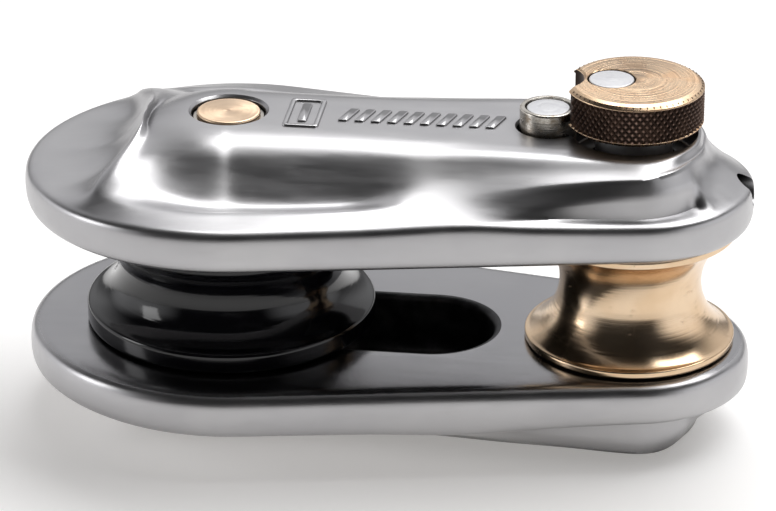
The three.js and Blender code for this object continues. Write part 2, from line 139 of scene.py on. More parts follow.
class Paint:
    """A material with one Principled surface, and the nodes that feed it."""

    def __init__(self, name, **constants):
        self.material = bpy.data.materials.new(name)
        self.material.use_nodes = True
        self.tree = self.material.node_tree
        self.surface = self.tree.nodes["Principled BSDF"]
        for socket, value in constants.items():
            self.surface.inputs[socket.replace("_", " ")].default_value = value
        self.place = self.value("ShaderNodeTexCoord", output="Object")

    def node(self, kind, settings=None, inputs=None):
        node = self.tree.nodes.new(kind)
        for name, setting in (settings or {}).items():
            setattr(node, name, setting)
        for name, given in (inputs or {}).items():
            if isinstance(given, Value):
                self.tree.links.new(given.socket, node.inputs[name])
            else:
                node.inputs[name].default_value = given
        return node

    def value(self, kind, settings=None, inputs=None, output=0):
        return Value(self, self.node(kind, settings, inputs).outputs[output])

    def feed(self, **links):
        """Links values into the surface: Base_Color=..., Roughness=..."""
        for socket, given in links.items():
            self.tree.links.new(given.socket, self.surface.inputs[socket.replace("_", " ")])
        return self.material

    def noise(self, scale, detail=2.0, place=None, roughness=0.5):
        return self.value("ShaderNodeTexNoise", None, {
            "Vector": place or self.place, "Scale": scale, "Detail": detail, "Roughness": roughness})

    def vector(self, operation, *values, output=0):
        return self.value("ShaderNodeVectorMath", {"operation": operation}, dict(enumerate(values)), output)

    def ease(self, value, low, high, out_low=0.0, out_high=1.0):
        return self.value("ShaderNodeMapRange", {"interpolation_type": "SMOOTHSTEP"}, {
            "Value": value, "From Min": low, "From Max": high, "To Min": out_low, "To Max": out_high})

    def blend(self, amount, first, second):
        """From one colour to another; a colour is a tuple or a Value."""
        fill = lambda colour: colour if isinstance(colour, Value) else (*colour, 1.0)
        return self.value("ShaderNodeMix", {"data_type": "RGBA"}, {
            "Factor": amount, 6: fill(first), 7: fill(second)}, 2)

    def bump(self, height, distance, strength):
        return self.value("ShaderNodeBump", None, {
            "Height": height, "Distance": distance, "Strength": strength})

    def stretched(self, *scale):
        return self.value("ShaderNodeMapping", None, {"Vector": self.place, "Scale": scale})

    def turning(self, axis_x, pitch, tilt):
        """Normal of a turned surface: fine tool lines run round the axis and tilt it across them."""
        spot = self.vector("SUBTRACT", self.place, (axis_x * MM, 0, 0))
        around = self.vector("NORMALIZE", self.vector("CROSS_PRODUCT", (0, 0, 1), spot))
        around = self.value("ShaderNodeVectorTransform", {
            "vector_type": "VECTOR", "convert_from": "OBJECT", "convert_to": "WORLD"}, {"Vector": around})
        normal = self.value("ShaderNodeNewGeometry", output="Normal")
        across = self.vector("CROSS_PRODUCT", normal, around)
        flat = self.vector("MULTIPLY", spot, (1, 1, 0))
        reach = self.vector("LENGTH", flat, output="Value")
        height = self.vector("DOT_PRODUCT", spot, (0, 0, 1), output="Value")
        line = (reach + height * 1.37) / (pitch * MM)
        lines = self.value("ShaderNodeTexWhiteNoise", {"noise_dimensions": "1D"}, {
            "W": line.sum("FLOOR", line)})
        push = self.value("ShaderNodeVectorMath", {"operation": "SCALE"}, {
            "Vector": across, "Scale": (lines - 0.5) * tilt})
        return self.vector("NORMALIZE", self.vector("ADD", normal, push))


# ---- finishes ------------------------------------------------
def cheek_steel():
    """Satin stainless: soft cloudy tone, fine blasted grain and handling marks; inner faces ground smoother
    and painted darker as the shade between the plates, and painted shade in corners and recesses.
    """
    paint = Paint("cheek_steel", Metallic=1.0)
    cloud = paint.noise(55, 3)
    grain = paint.noise(2600, 2)
    streak = paint.noise(90, 3, paint.stretched(1, 7, 7))
    rubbed = paint.ease(paint.noise(170, 4, paint.stretched(1, 1, 3), 0.55), 0.55, 0.75)
    colour = paint.blend(paint.ease(cloud, 0.3, 0.7), (0.445, 0.44, 0.45), (0.485, 0.48, 0.485))
    colour = paint.blend(rubbed * 0.10, colour, (0.40, 0.39, 0.38))
    height = paint.vector("DOT_PRODUCT", paint.place, (0, 0, 1), output="Value")
    from_middle = height - (LOW_Z + UP_Z) / 2 * MM
    from_face = from_middle.sum("ABSOLUTE", from_middle) - (UP_Z - LOW_Z) / 2 * MM
    # Painted shade: the inner faces between the plates are painted darker, standing in for the shade that
    # falls between them; their lower roughness is a real ground finish.
    inner_face_ground_and_shaded = paint.ease(from_face, 0.0002, 0.0006, 1.0, 0.0)
    colour = paint.blend(inner_face_ground_and_shaded * 0.5, colour, (0.22, 0.22, 0.23))
    # Painted shade: corners, creases and recesses such as the pockets and the knob recess are darkened
    # almost to black by ambient occlusion.
    open_sky = paint.value("ShaderNodeAmbientOcclusion", {"samples": 6}, {"Distance": 0.007}, "AO")
    painted_corner_shade = paint.ease(open_sky, 0.3, 0.8, 0.9, 0.0) * (1 - inner_face_ground_and_shaded)
    colour = paint.blend(painted_corner_shade, colour, (0.03, 0.03, 0.03))
    rough = paint.ease(streak, 0.3, 0.7, 0.29, 0.34) + rubbed * 0.03 - inner_face_ground_and_shaded * 0.1
    relief = grain * 0.8 + streak * 0.2
    return paint.feed(Base_Color=colour, Roughness=rough, Normal=paint.bump(relief, 0.000012, 0.4))


def pocket_painted_shade():
    """Painted shade: a near-black mottled finish on the walls and floor of the pockets, standing in for the
    shade inside them.
    """
    paint = Paint("pocket_painted_shade", Metallic=0.8)
    shade_mottle = paint.ease(paint.noise(240, 4), 0.35, 0.7)
    colour = paint.blend(shade_mottle, (0.05, 0.05, 0.052), (0.11, 0.11, 0.112))
    return paint.feed(Base_Color=colour, Roughness=0.42 + shade_mottle * 0.12,
                      Normal=paint.bump(paint.noise(1500, 3), 0.00003, 0.4))


def black_anodised():
    """Black anodised aluminium, turned and glossy, with a few dull rubs."""
    paint = Paint("black_anodised", Specular_IOR_Level=0.5)
    rub = paint.ease(paint.noise(160, 4, paint.stretched(1, 1, 4), 0.6), 0.56, 0.74)
    dust = paint.ease(paint.noise(700, 4), 0.55, 0.8)
    colour = paint.blend(rub * 0.5 + dust * 0.2, (0.002, 0.002, 0.003), (0.010, 0.010, 0.011))
    rough = 0.10 + rub * 0.08 + dust * 0.04
    return paint.feed(Base_Color=colour, Roughness=rough, Normal=paint.turning(SHEAVE_X, 0.11, 0.035))


def polished_bronze():
    """Polished bronze of the sling spool: lively warm reflections and light turning lines."""
    paint = Paint("polished_bronze", Metallic=1.0)
    patch = paint.ease(paint.noise(120, 4), 0.35, 0.68)
    tarnish = paint.ease(paint.noise(300, 5, paint.stretched(1, 1, 2.5), 0.6), 0.56, 0.72)
    colour = paint.blend(patch, (0.70, 0.51, 0.33), (0.78, 0.60, 0.42))
    colour = paint.blend(tarnish * 0.22, colour, (0.36, 0.22, 0.12))
    rough = 0.18 + patch * 0.05 + tarnish * 0.08
    return paint.feed(Base_Color=colour, Roughness=rough, Normal=paint.turning(SPOOL_X, 0.13, 0.06))


def axle_bronze():
    """Dull peach bronze of the axle end, with a centre mark and tool rings."""
    paint = Paint("axle_bronze", Metallic=1.0, Anisotropic=0.6)
    mottle = paint.ease(paint.noise(420, 4), 0.35, 0.7)
    spot = paint.vector("MULTIPLY", paint.vector("SUBTRACT", paint.place, (SHEAVE_X * MM, 0, 0)), (1, 1, 0))
    centre = paint.ease(paint.vector("LENGTH", spot, output="Value"), 0.0002, 0.0006, 1.0, 0.0)
    colour = paint.blend(mottle, (0.84, 0.63, 0.44), (0.92, 0.71, 0.51))
    colour = paint.blend(centre * 0.5, colour, (0.34, 0.20, 0.12))
    rough = 0.36 + mottle * 0.08
    return paint.feed(Base_Color=colour, Roughness=rough, Normal=paint.turning(SHEAVE_X, 0.16, 0.16))


def knob_face_bronze():
    """Turned top and chamfers of the thumb knob: golden brown, with strong tool lines."""
    paint = Paint("knob_face_bronze", Metallic=1.0, Anisotropic=0.8)
    stain = paint.ease(paint.noise(260, 5, None, 0.6), 0.42, 0.72)
    colour = paint.blend(stain, (0.74, 0.54, 0.36), (0.58, 0.38, 0.23))
    rough = 0.24 + stain * 0.08
    return paint.feed(Base_Color=colour, Roughness=rough, Normal=paint.turning(SPOOL_X, 0.09, 0.42))


def knurl_bronze():
    """Diamond knurl: dark patina in the valleys, rubbed brown on the points."""
    paint = Paint("knurl_bronze", Metallic=1.0)
    spot = paint.vector("MULTIPLY", paint.vector("SUBTRACT", paint.place, (SPOOL_X * MM, 0, 0)), (1, 1, 0))
    reach = paint.vector("LENGTH", spot, output="Value")
    knob_r = radius_of("thumb_knob") * MM
    worn = paint.ease(reach, knob_r - 0.0004, knob_r)
    blotch = paint.ease(paint.noise(330, 4), 0.4, 0.7)
    colour = paint.blend(worn, (0.045, 0.030, 0.024), (0.21, 0.14, 0.11))
    colour = paint.blend(blotch * 0.35, colour, (0.15, 0.095, 0.07))
    rough = 0.46 - worn * 0.12 + blotch * 0.06
    return paint.feed(Base_Color=colour, Roughness=rough,
                      Normal=paint.bump(paint.noise(3000, 2), 0.00002, 0.4))


def turned_steel(name, axis_x, stained):
    """Turned stainless of pins and rings; stained tells how brown its handling marks are."""
    paint = Paint(name, Metallic=1.0)
    mark = paint.ease(paint.noise(420, 5, paint.stretched(1, 1, 1.6), 0.65), 0.44, 0.68)
    colour = paint.blend(mark * stained, (0.56, 0.53, 0.48), (0.22, 0.16, 0.10))
    rough = 0.24 + mark * 0.14
    return paint.feed(Base_Color=colour, Roughness=rough, Normal=paint.turning(axis_x, 0.12, 0.10))


def pale_steel(name, axis_x):
    """Pale satin steel of the small discs."""
    paint = Paint(name, Metallic=0.85)
    mottle = paint.ease(paint.noise(600, 4), 0.4, 0.7)
    colour = paint.blend(mottle, (0.68, 0.68, 0.69), (0.60, 0.60, 0.62))
    rough = 0.40 + mottle * 0.08
    return paint.feed(Base_Color=colour, Roughness=rough, Normal=paint.turning(axis_x, 0.14, 0.12))


def pale_floor():
    """Pale studio floor with a faint glow of its own, so that shadows on it stay soft."""
    paint = Paint("pale_floor", Specular_IOR_Level=0.2, Emission_Color=(1.0, 0.97, 0.94, 1),
                  Emission_Strength=0.32)
    cloud = paint.ease(paint.noise(3, 2), 0.3, 0.7)
    return paint.feed(Base_Color=paint.blend(cloud, (0.86, 0.86, 0.86), (0.88, 0.88, 0.88)),
                      Roughness=0.6 + cloud * 0.05)


STEEL = cheek_steel()
POCKET_SHADE = pocket_painted_shade()
BLACK = black_anodised()
SPOOL_BRONZE = polished_bronze()
BRONZE = axle_bronze()
KNOB_FACE = knob_face_bronze()
KNURL = knurl_bronze()
AXLE_STEEL = turned_steel("axle_steel", SHEAVE_X, 0.2)
POST_STEEL = turned_steel("post_steel", SPOOL_X, 0.25)
BUTTON_STEEL = turned_steel("button_steel", BUTTON_X, 0.75)
BUTTON_PALE = pale_steel("button_pale_steel", BUTTON_X)
DISC_PALE = pale_steel("disc_pale_steel", DISC_X)
COLLAR_PALE = pale_steel("collar_pale_steel", SPOOL_X)


# ---- geometry node trees -------------------------------------
class Tree:
    """A Geometry Nodes tree with named inputs."""

    def __init__(self, name, **inputs):
        self.tree = bpy.data.node_groups.new(name, "GeometryNodeTree")
        self.socket = {}
        for label, kind in {"Geometry": "Geometry", **inputs, "Finish": "Material"}.items():
            title = label.replace("_", " ")
            item = self.tree.interface.new_socket(title, in_out="INPUT", socket_type=f"NodeSocket{kind}")
            self.socket[label] = item.identifier
        self.tree.interface.new_socket("Geometry", in_out="OUTPUT", socket_type="NodeSocketGeometry")
        self.given = self.tree.nodes.new("NodeGroupInput").outputs

    def take(self, label):
        return self.given[label.replace("_", " ")]

    def add(self, kind, settings=None, inputs=None, output=0):
        node = self.tree.nodes.new(kind)
        for name, setting in (settings or {}).items():
            setattr(node, name, setting)
        for name, given in (inputs or {}).items():
            if isinstance(given, bpy.types.NodeSocket):
                self.tree.links.new(given, node.inputs[name])
            else:
                node.inputs[name].default_value = given
        return node.outputs[output]

    def math(self, operation, *values):
        return self.add("ShaderNodeMath", {"operation": operation}, dict(enumerate(values)))

    def xyz(self, x=0.0, y=0.0, z=0.0):
        return self.add("ShaderNodeCombineXYZ", None, {"X": x, "Y": y, "Z": z})

    def close(self, geometry):
        """Ends the tree: realised, smooth and with its finish."""
        real = self.add("GeometryNodeRealizeInstances", None, {"Geometry": geometry})
        smooth = self.add("GeometryNodeSetShadeSmooth", None, {"Geometry": real})
        painted = self.add("GeometryNodeSetMaterial", None, {
            "Geometry": smooth, "Material": self.take("Finish")})
        self.tree.links.new(painted, self.tree.nodes.new("NodeGroupOutput").inputs[0])
        return self

    def make(self, name, source, finish, **values):
        """Runs the tree on a mesh object and leaves the plain mesh."""
        source.name = name
        modifier = source.modifiers.new("build", "NODES")
        modifier.node_group = self.tree
        for label, value in {**values, "Finish": finish}.items():
            modifier[self.socket[label]] = value
        return settle(source)


def turning_tree():
    """Revolves a half section drawn in the XZ plane, its x being the radius less one millimetre."""
    tree = Tree("turned_piece", Facets="Int", Axis_X="Float")
    section = tree.add("GeometryNodeMeshToCurve", None, {"Mesh": tree.take("Geometry")})
    laid = tree.add("GeometryNodeTransform", None, {"Geometry": section, "Rotation": (math.pi / 2, 0, 0)})
    circle = tree.add("GeometryNodeCurvePrimitiveCircle", None, {
        "Resolution": tree.take("Facets"), "Radius": MM})
    skin = tree.add("GeometryNodeCurveToMesh", None, {"Curve": circle, "Profile Curve": laid})
    placed = tree.add("GeometryNodeTransform", None, {
        "Geometry": skin, "Translation": tree.xyz(tree.take("Axis_X"))})
    merged = tree.add("GeometryNodeMergeByDistance", None, {"Geometry": placed, "Distance": 1e-7})
    return tree.close(merged)


def knurl_tree():
    """Diamond studs in staggered rows round a cylinder, left out where the notch is."""
    tree = Tree("diamond_knurl", Columns="Int", Rows="Int", Row_Step="Float", Radius="Float", Low="Float",
                Axis_X="Float", Notch_X="Float", Notch_Radius="Float")
    index = tree.add("GeometryNodeInputIndex")
    row = tree.math("FLOOR", tree.math("DIVIDE", index, tree.take("Columns")))
    column = tree.math("MODULO", index, tree.take("Columns"))
    stagger = tree.math("MULTIPLY", tree.math("MODULO", row, 2.0), 0.5)
    turn = tree.math("MULTIPLY", tree.math("DIVIDE", tree.math("ADD", column, stagger),
                                           tree.take("Columns")), 2 * math.pi)
    x = tree.math("ADD", tree.take("Axis_X"), tree.math("MULTIPLY", tree.take("Radius"),
                                                        tree.math("COSINE", turn)))
    y = tree.math("MULTIPLY", tree.take("Radius"), tree.math("SINE", turn))
    z = tree.math("ADD", tree.take("Low"), tree.math("MULTIPLY", row, tree.take("Row_Step")))
    count = tree.math("MULTIPLY", tree.take("Columns"), tree.take("Rows"))
    dots = tree.add("GeometryNodePoints", None, {"Count": count, "Position": tree.xyz(x, y, z)})
    apart = tree.add("ShaderNodeVectorMath", {"operation": "LENGTH"}, {
        0: tree.xyz(tree.math("SUBTRACT", x, tree.take("Notch_X")), y)}, "Value")
    in_notch = tree.math("LESS_THAN", apart, tree.take("Notch_Radius"))
    kept = tree.add("GeometryNodeDeleteGeometry", {"domain": "POINT"}, {
        "Geometry": dots, "Selection": in_notch})
    spot = tree.add("GeometryNodeInputPosition")
    parts = tree.add("ShaderNodeSeparateXYZ", None, {0: spot}).node.outputs
    facing = tree.math("ARCTAN2", parts["Y"], tree.math("SUBTRACT", parts["X"], tree.take("Axis_X")))
    studs = tree.add("GeometryNodeInstanceOnPoints", None, {
        "Points": kept, "Instance": tree.take("Geometry"), "Rotation": tree.xyz(z=facing)})
    return tree.close(studs)


def row_tree():
    """Copies of a raised mark in a row along X."""
    tree = Tree("row_of_marks", Count="Int", Step="Float", Start="Float", Height="Float")
    line = tree.add("GeometryNodeMeshLine", None, {
        "Count": tree.take("Count"), "Start Location": tree.xyz(tree.take("Start"), z=tree.take("Height")),
        "Offset": tree.xyz(tree.take("Step"))})
    marks = tree.add("GeometryNodeInstanceOnPoints", None, {
        "Points": line, "Instance": tree.take("Geometry")})
    return tree.close(marks)


def spring_tree():
    """Round wire wound into an open coil along Z."""
    tree = Tree("coil_spring", Turns="Float", Radius="Float", Wire="Float", Length="Float",
                Axis_X="Float", Low="Float")
    coil = tree.add("GeometryNodeCurveSpiral", None, {
        "Resolution": 32, "Rotations": tree.take("Turns"), "Start Radius": tree.take("Radius"),
        "End Radius": tree.take("Radius"), "Height": tree.take("Length")})
    wire = tree.add("GeometryNodeCurvePrimitiveCircle", None, {
        "Resolution": 10, "Radius": tree.take("Wire")})
    skin = tree.add("GeometryNodeCurveToMesh", None, {
        "Curve": coil, "Profile Curve": wire, "Fill Caps": True})
    placed = tree.add("GeometryNodeTransform", None, {
        "Geometry": skin, "Translation": tree.xyz(tree.take("Axis_X"), z=tree.take("Low"))})
    return tree.close(placed)


# ---- mesh helpers --------------------------------------------
def mesh_object(name, points, faces, edges=(), finish=None):
    """An object from points in millimetres."""
    mesh = bpy.data.meshes.new(name)
    mesh.from_pydata([[value * MM for value in point] for point in points], edges, faces)
    if finish:
        mesh.materials.append(finish)
    thing = bpy.data.objects.new(name, mesh)
    bpy.context.scene.collection.objects.link(thing)
    return thing


def settle(thing):
    """Replaces an object's mesh by what its modifiers make of it."""
    bpy.context.view_layer.update()
    graph = bpy.context.evaluated_depsgraph_get()
    mesh = bpy.data.meshes.new_from_object(thing.evaluated_get(graph))
    thing.modifiers.clear()
    thing.data = mesh
    mesh.name = thing.name
    return thing


def tidy_faces(thing, crisp_angle=32):
    """Turns all faces outwards, smooth but for edges past the angle."""
    shape = bmesh.new()
    shape.from_mesh(thing.data)
    bmesh.ops.recalc_face_normals(shape, faces=shape.faces)
    shape.to_mesh(thing.data)
    shape.free()
    thing.data.shade_smooth()
    thing.data.set_sharp_from_angle(angle=math.radians(crisp_angle))
    return thing


def ride(thing, body, slot, *nodes):
    """Puts a finished piece on its body, in place of the CAD nodes it stands for."""
    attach(thing, body)
    if nodes:
        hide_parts(*nodes)
    return thing


def eased(points, steps=5):
    """A section whose corners, given as [r, z, radius], are rounded."""
    out = []
    count = len(points)
    for i, point in enumerate(points):
        radius = point[2] if len(point) > 2 else 0
        corner = Vector(point[:2])
        if not radius or i in (0, count - 1):
            out.append(tuple(corner))
            continue
        before = Vector(points[i - 1][:2]) - corner
        after = Vector(points[i + 1][:2]) - corner
        cut = min(radius, before.length * 0.49, after.length * 0.49)
        start = corner + before.normalized() * cut
        end = corner + after.normalized() * cut
        for k in range(steps + 1):
            t = k / steps
            out.append(tuple(start * (1 - t) ** 2 + corner * 2 * t * (1 - t) + end * t * t))
    return out


TURN = turning_tree()


def turned(name, section, axis_x, finish, facets=ROUND, closed=False):
    """A turned piece from its half section of [radius, z] points."""
    points = [(r - 1, 0, z) for r, z in section]
    edges = [(i, i + 1) for i in range(len(points) - 1)]
    if closed:
        edges.append((len(points) - 1, 0))
    piece = TURN.make(name, mesh_object(name, points, [], edges), finish, Facets=facets, Axis_X=axis_x * MM)
    return tidy_faces(piece)


def cut(thing, *cutters):
    """Subtracts cutters from a piece and throws them away."""
    for cutter in cutters:
        modifier = thing.modifiers.new("cut", "BOOLEAN")
        modifier.operation = "DIFFERENCE"
        modifier.solver = "EXACT"
        modifier.object = cutter
    settle(thing)
    for cutter in cutters:
        bpy.data.objects.remove(cutter)
    return thing


# ---- relief of a cheek ---------------------------------------
def track(*keys):
    """A smooth curve through (u, value) pairs that never overshoots them."""
    slope = [(b[1] - a[1]) / (b[0] - a[0]) for a, b in zip(keys, keys[1:])]
    tangent = []
    for i in range(len(keys)):
        before = slope[max(i - 1, 0)]
        after = slope[min(i, len(slope) - 1)]
        tangent.append(0 if before * after <= 0 else 2 * before * after / (before + after))

    def curve(u):
        i = 0
        while i < len(keys) - 2 and u > keys[i + 1][0]:
            i += 1
        width = keys[i + 1][0] - keys[i][0]
        t = min(max((u - keys[i][0]) / width, 0), 1)
        bend = tangent[i] * width * t * (1 - t) ** 2 - tangent[i + 1] * width * t * t * (1 - t)
        return keys[i][1] + (keys[i + 1][1] - keys[i][1]) * t * t * (3 - 2 * t) + bend

    return curve


# u is 0 to 1 round the nose, to 2 along the straight side, to 3 round the tail.
spine_edge = track((0, 14.4), (0.45, 15), (0.9, 15.6), (1, 15.1), (1.2, 14), (1.4, 13.2), (1.56, 12.8),
                   (1.8, 13.4), (2, 14.4), (2.3, 13.7), (2.6, 12.9), (3, 12.3))
crown = track((0, 1), (0.95, 1), (1.1, 0.85), (1.3, 0.6), (1.5, 0.25), (1.7, 0), (3, 0))
crease_out = track((0, 15.2), (0.2, 16.3), (0.3, 18.6), (0.38, 22.5), (0.44, 27.5), (0.5, 32),
                   (0.6, 32), (0.7, 30.9), (1, 29.4), (1.3, 26.9), (1.58, 22.3), (1.82, 20), (1.99, 19),
                   (2.2, 17.6), (2.5, 14.8), (3, 13.3))
crease_high = track((0, 17), (0.2, 16.4), (0.3, 15.4), (0.38, 14), (0.44, 12.6), (0.5, 11), (0.6, 10.1),
                    (1, 9.95), (1.3, 10.5), (1.58, 12.4), (1.82, 14.8), (1.99, 15.9), (2.2, 16.4),
                    (3, 16.3))
scoop_dip = track((0, -0.4), (0.3, -1.2), (0.5, -2), (0.68, 0), (0.85, 1.3), (1.05, 1.9), (1.27, 1.6),
                  (1.46, -1.3), (1.6, -1.3), (1.8, -0.8), (2, -0.5), (2.5, 0), (3, 0))
lip_high = track((0, 7.8), (0.4, 8), (0.8, 8.6), (1.3, 8.9), (1.55, 9.5), (1.75, 8.7), (2, 8.2),
                 (2.5, 8.3), (3, 8.8))
dish_dip = track((0, 3.4), (0.3, 2.6), (0.42, 0.9), (0.5, 0), (3, 0))
pocket_open = track((0, 0), (1.6, 0), (1.7, 0.5), (1.85, 0.9), (2, 1), (2.38, 1), (2.47, 0), (3, 0))
tail_hollow = track((0, 0), (2.38, 0), (2.6, 1), (3, 1))
ledge_part = track((0, 0.24), (0.4, 0.24), (0.6, 0.5), (1.4, 0.55), (1.6, 0.8), (1.8, 0.48),
                   (1.99, 0.38), (3, 0.4))
floor_part = track((0, 0.62), (0.4, 0.62), (0.6, 0.8), (1.5, 0.85), (1.62, 0.92), (2, 0.85), (3, 0.8))


def lerp(first, second, part):
    return first + (second - first) * part


def cheek_section(u):
    """Distance out and height of each line of the skin at u, from the spine over the rim."""
    out = lerp(NOSE_R, TAIL_R, min(max(u - 1, 0), 1))
    edge = spine_edge(u)
    rounding = crown(u)
    dish = dish_dip(u)
    hollow = tail_hollow(u)
    opening = pocket_open(u)
    crease = Vector((crease_out(u), crease_high(u)))
    lip = Vector((out - 1.5, lip_high(u)))
    foot = Vector((lerp(edge, crease.x, 0.74), crease.y - scoop_dip(u)))

    def slope(part, fall, sink):
        return lerp(edge, foot.x, part), lerp(CHEEK_H, foot.y, fall) - sink * rounding

    ledge = crease.lerp(lip, ledge_part(u)) - Vector((1.6 * hollow, 1.55 * dish + 0.6 * hollow))
    floor = crease.lerp(lip, floor_part(u)) - Vector((1.7 * hollow, 0.95 * dish - 0.6 * hollow))
    floor = floor.lerp(Vector((ledge.x + 0.4, lip.y + 0.4)), opening)
    return [
        (edge * 0.25, CHEEK_H), (edge - 3.2 - 3.8 * rounding, CHEEK_H),
        (edge - 2.1 - 1.9 * rounding, CHEEK_H - 0.5 * rounding), (edge - 1, CHEEK_H - 0.1 - 1.5 * rounding),
        slope(0.14, 0.08, 2.3), slope(0.4, 0.35, 2), slope(0.72, 0.73, 0.8), tuple(foot), tuple(crease),
        tuple(ledge), tuple(floor), tuple(lip), (out - 0.4, lip.y - 0.5), (out, lip.y - 1.9), (out, 2.3),
        (out - 0.68, 0.68), (out - 2.3, 0), (out - 4.5, 0), (out * 0.4, 0),
    ]


CREASE_LINE = 8
LEDGE_LINE = 9
FLOOR_LINE = 10
LIP_LINE = 11
TAIL_PLACES = (0, 0.08, 0.16, 0.24, 0.32, 0.38, 0.43, 0.47, 0.52, 0.6, 0.7, 0.8, 0.9, 1)


def cheek_skin(name):
    """The outer skin of a cheek, inner face at z = 0, as a cage that is then smoothed."""
    front = [i / 24 for i in range(24)] + [1 + i / 28 for i in range(28)] + [2 + t for t in TAIL_PLACES]
    loop = [(u, -1) for u in front] + [(u, 1) for u in reversed(front[1:-1])]
    points, faces = [], []
    lines = len(cheek_section(0))
    for u, side in loop:
        turn = NOSE_TURN * min(u, 1) + (math.pi - NOSE_TURN) * max(u - 2, 0)
        middle = SHEAVE_X + REACH * min(max(u - 1, 0), 1)
        stretch = NOSE_X / NOSE_R if turn < math.pi / 2 else 1
        for out, high in cheek_section(u):
            points.append((middle - out * stretch * math.cos(turn), side * out * math.sin(turn), high))
    count = len(loop)
    for i in range(count):
        here, after = i * lines, (i + 1) % count * lines
        faces += [(here + k, here + k + 1, after + k + 1, after + k) for k in range(lines - 1)]
    for i in range(len(front) - 1):
        mate, next_mate = (count - i) % count * lines, (count - i - 1) * lines
        corners = [i * lines, (i + 1) * lines, next_mate, mate]
        faces.append(list(dict.fromkeys(corners)))
        faces.append(list(dict.fromkeys(corner + lines - 1 for corner in reversed(corners))))
    skin = mesh_object(name, points, faces, finish=STEEL)
    # The second slot is the painted shade of the pockets.
    skin.data.materials.append(POCKET_SHADE)
    shape = bmesh.new()
    shape.from_mesh(skin.data)
    layer = shape.edges.layers.float.new("crease_edge")
    shape.verts.ensure_lookup_table()
    for i, (u, _) in enumerate(loop):
        after = (i + 1) % count * lines
        opening = pocket_open(u)
        ridge = 0.75 if u < 0.5 else lerp(0.45, 0.95, opening)
        for line, weight in ((CREASE_LINE, ridge), (LEDGE_LINE, 0.8 * opening), (FLOOR_LINE, 0.8 * opening),
                             (LIP_LINE, 0.45)):
            edge = shape.edges.get((shape.verts[i * lines + line], shape.verts[after + line]))
            edge[layer] = weight
    bmesh.ops.recalc_face_normals(shape, faces=shape.faces)
    shape.to_mesh(skin.data)
    shape.free()
    smooth = skin.modifiers.new("smooth", "SUBSURF")
    smooth.levels = smooth.render_levels = 2
    return settle(skin)


def bore(axis_x, *section):
    """A cutter turned about an axis, from points [radius, height, rounding] over the inner face."""
    return turned("cutter", eased([(0, section[0][1]), *section, (0, section[-1][1])]), axis_x, STEEL)


def pin_seat(axis_x, pin_r, play):
    """Bore for a pin end, with a snap ring seat under a chamfered mouth."""
    lip = CHEEK_H - 2.45
    seat = pin_r + RING_OVER + FIT
    mouth = seat + 0.65
    return bore(axis_x, (pin_r + play, -1), (pin_r + play, lip, 0.15), (seat, lip),
                (seat, CHEEK_H - 0.55, 0.12), (mouth, CHEEK_H + 0.04, 0.1), (mouth, CHEEK_H + 1))


def pocket_cutter():
    """The blind pocket in an inner face, its mouth and floor rounded."""
    first, second = SHEAVE_X + 25, SHEAVE_X + 39
    mouth, corner = 1.4, 3
    quarter = [math.pi / 2 * k / 6 for k in range(7)]
    flare = [(POCKET_R + mouth - mouth * math.sin(a), mouth - mouth * math.cos(a)) for a in quarter]
    floor = [(POCKET_R - corner + corner * math.cos(a), POCKET_DEPTH - corner + corner * math.sin(a))
             for a in quarter]
    rings = [(POCKET_R + mouth, -1), *flare, *floor]
    turns = [math.pi * (0.5 + k / 40) for k in range(41)]
    points, faces = [], []
    for out, high in rings:
        points += [(first + out * math.cos(a), out * math.sin(a), high) for a in turns]
        points += [(second - out * math.cos(a), -out * math.sin(a), high) for a in turns]
    count = 2 * len(turns)
    for k in range(len(rings) - 1):
        faces += [(k * count + i, k * count + (i + 1) % count, (k + 1) * count + (i + 1) % count,
                   (k + 1) * count + i) for i in range(count)]
    faces.append(list(range(count)))
    faces.append(list(range((len(rings) - 1) * count, len(rings) * count)))
    cutter = tidy_faces(mesh_object("cutter", points, faces, finish=STEEL))
    cutter.data.materials.append(POCKET_SHADE)
    # Every face of the cutter takes the painted pocket shade.
    for face in cutter.data.polygons:
        face.material_index = 1
    return cutter


def end_groove():
    """Round channel that runs out through the tail."""
    start, length, radius, high = SPOOL_X + TAIL_R - 6.3, 12, 3, 7
    steps = 40
    turns = [2 * math.pi * k / steps for k in range(steps)]
    points = [(x, radius * math.cos(a), high + radius * math.sin(a))
              for x in (start, start + length) for a in turns]
    faces = [(k, (k + 1) % steps, steps + (k + 1) % steps, steps + k) for k in range(steps)]
    faces += [list(range(steps)), list(range(steps, 2 * steps))]
    return tidy_faces(mesh_object("cutter", points, faces, finish=STEEL))


def place_cheek(thing, flip):
    """Lifts a cheek to its place; the lower one is turned over."""
    for vertex in thing.data.vertices:
        x, y, z = vertex.co
        vertex.co = (x, y, LOW_Z * MM - z) if flip else (x, y, UP_Z * MM + z)
    return tidy_faces(thing, 38)


def lower_cheek():
    plate = cut(cheek_skin("lower_cheek"), pocket_cutter(),
                pin_seat(SHEAVE_X, AXLE_R, 0.3), pin_seat(SPOOL_X, POST_END_R, 0.3))
    return ride(place_cheek(plate, True), "lower_cheek", "cheek_steel", "lower_cheek_plate")


